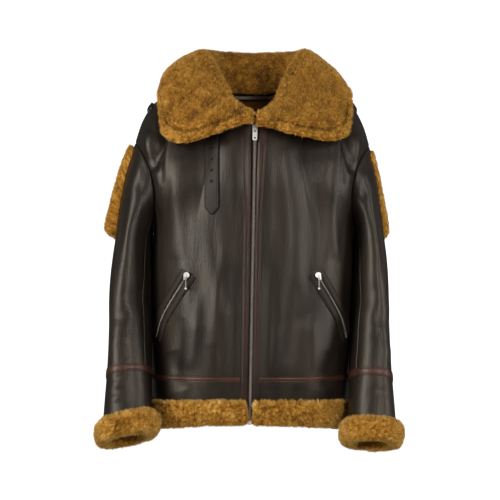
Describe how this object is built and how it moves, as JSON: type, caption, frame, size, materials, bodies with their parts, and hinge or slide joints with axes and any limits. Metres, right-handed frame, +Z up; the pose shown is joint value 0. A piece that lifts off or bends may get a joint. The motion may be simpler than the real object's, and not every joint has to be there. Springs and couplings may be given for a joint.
{
  "type": "shearling coat",
  "caption": "Leather-faced shearling coat, filled out and open inside, with a wide fur collar, fur cuffs and hem, a front zip and two slanted zip pockets.",
  "frame": {"origin": "middle of the neck opening, level with the shoulders, where the wearer holds the coat up", "axes": "+X towards the wearer's left, +Y to the back of the coat, +Z up"},
  "size_m": [0.6221, 0.3435, 0.8232],
  "materials": {
    "dark_leather": "semi-gloss, finely grained",
    "tape_leather": "semi-gloss",
    "shearling_fur": "dense curly pile",
    "zip_metal": "bright nickel"
  },
  "bodies": {
    "coat": {"back": "dark_leather", "collar": "shearling_fur", "cuff_fur_left": "shearling_fur", "cuff_fur_right": "shearling_fur", "front_left": "dark_leather", "front_right": "dark_leather", "hanger_loop": "dark_leather", "hem_band_back": "dark_leather", "hem_band_left": "dark_leather", "hem_band_right": "dark_leather", "hem_fur_back": "shearling_fur", "hem_fur_left": "shearling_fur", "hem_fur_right": "shearling_fur", "placket_left": "tape_leather", "placket_right": "tape_leather", "pocket_slider_left": "zip_metal", "pocket_slider_right": "zip_metal", "pocket_welt_lower_left": "tape_leather", "pocket_welt_lower_right": "tape_leather", "pocket_welt_upper_left": "tape_leather", "pocket_welt_upper_right": "tape_leather", "pocket_zip_left": "zip_metal", "pocket_zip_right": "zip_metal", "shoulder_tab_left": "dark_leather", "shoulder_tab_right": "dark_leather", "sleeve_fur_left": "shearling_fur", "sleeve_fur_right": "shearling_fur", "sleeve_under_left": "dark_leather", "sleeve_under_right": "dark_leather", "sleeve_upper_left": "dark_leather", "sleeve_upper_right": "dark_leather", "throat_strap": "dark_leather", "waist_tape_back": "tape_leather", "waist_tape_left": "tape_leather", "waist_tape_right": "tape_leather", "wrist_band_left": "dark_leather", "wrist_band_right": "dark_leather", "wrist_tape_left": "tape_leather", "wrist_tape_right": "tape_leather", "zip_box": "zip_metal", "zip_chain": "zip_metal", "zip_slider": "zip_metal"},
    "main_pull": {"zip_pull": "zip_metal"},
    "pocket_pull_left": {"pocket_pull_left": "zip_metal"},
    "pocket_pull_right": {"pocket_pull_right": "zip_metal"}
  },
  "joints": [
    {"name": "main_pull_swing", "type": "hinge", "parent": "coat", "child": "main_pull", "pos_m": [-0.00084, -0.13879, -0.04544], "axis": [-0.9998, 0.0042, 0.0169], "range_deg": [0, 110]},
    {"name": "pocket_pull_left_swing", "type": "hinge", "parent": "coat", "child": "pocket_pull_left", "pos_m": [0.12579, -0.12985, -0.34006], "axis": [-0.9792, -0.2027, 0], "range_deg": [0, 110]},
    {"name": "pocket_pull_right_swing", "type": "hinge", "parent": "coat", "child": "pocket_pull_right", "pos_m": [-0.13798, -0.12995, -0.34006], "axis": [-0.9793, 0.2026, 0], "range_deg": [0, 110]}
  ]
}
